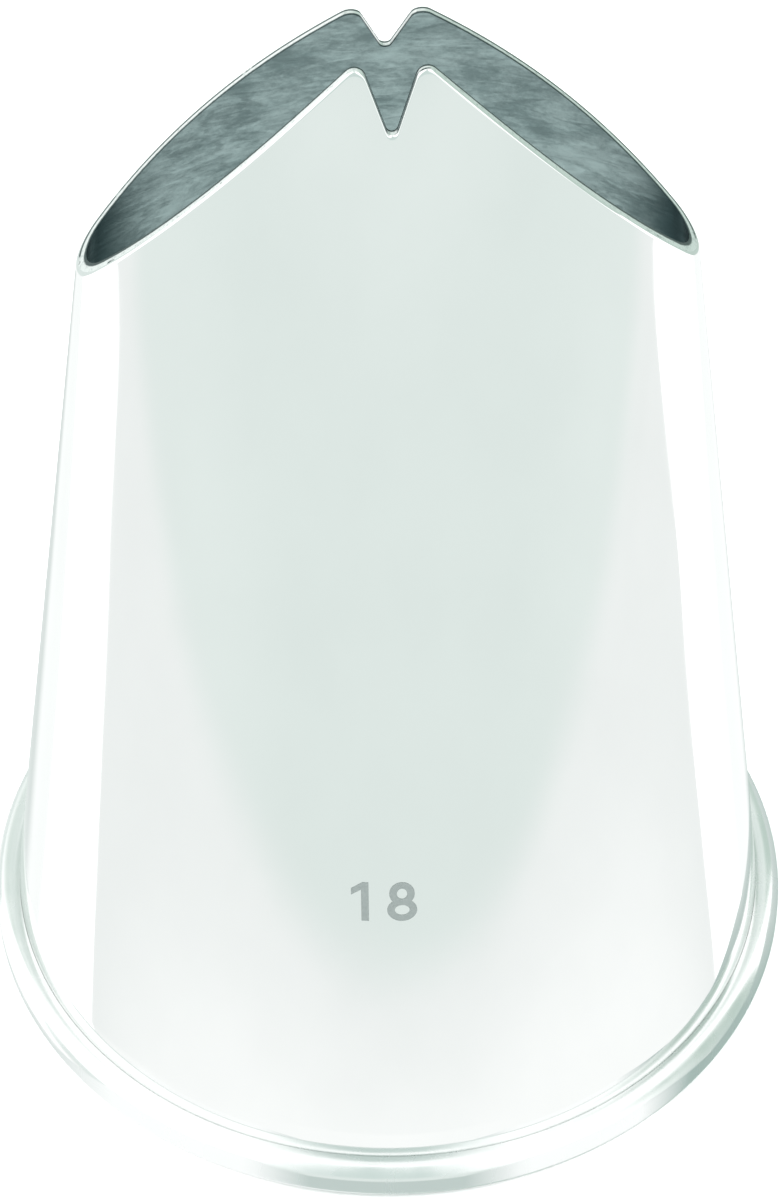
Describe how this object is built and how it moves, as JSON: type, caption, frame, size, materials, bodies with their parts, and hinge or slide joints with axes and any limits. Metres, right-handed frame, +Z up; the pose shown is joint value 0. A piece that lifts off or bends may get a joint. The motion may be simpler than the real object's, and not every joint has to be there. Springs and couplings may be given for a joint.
{
  "type": "piping nozzle",
  "caption": "Large leaf piping nozzle of thin polished steel sheet: round base with a rolled rim, tapering to a flat leaf-shaped mouth with a notched point.",
  "frame": {"origin": "middle of the round base, on the plane that the nozzle stands on", "axes": "+Z up from the base through the tip, +X along the wide way of the mouth, the front wall faces -Y"},
  "size_m": [0.0266, 0.0266, 0.0376],
  "materials": {
    "polished_sheet": "polished stainless steel",
    "rim_sheet": "polished stainless steel"
  },
  "bodies": {
    "root": {"nozzle_shell": "polished_sheet", "rolled_rim": "rim_sheet"}
  },
  "joints": []
}
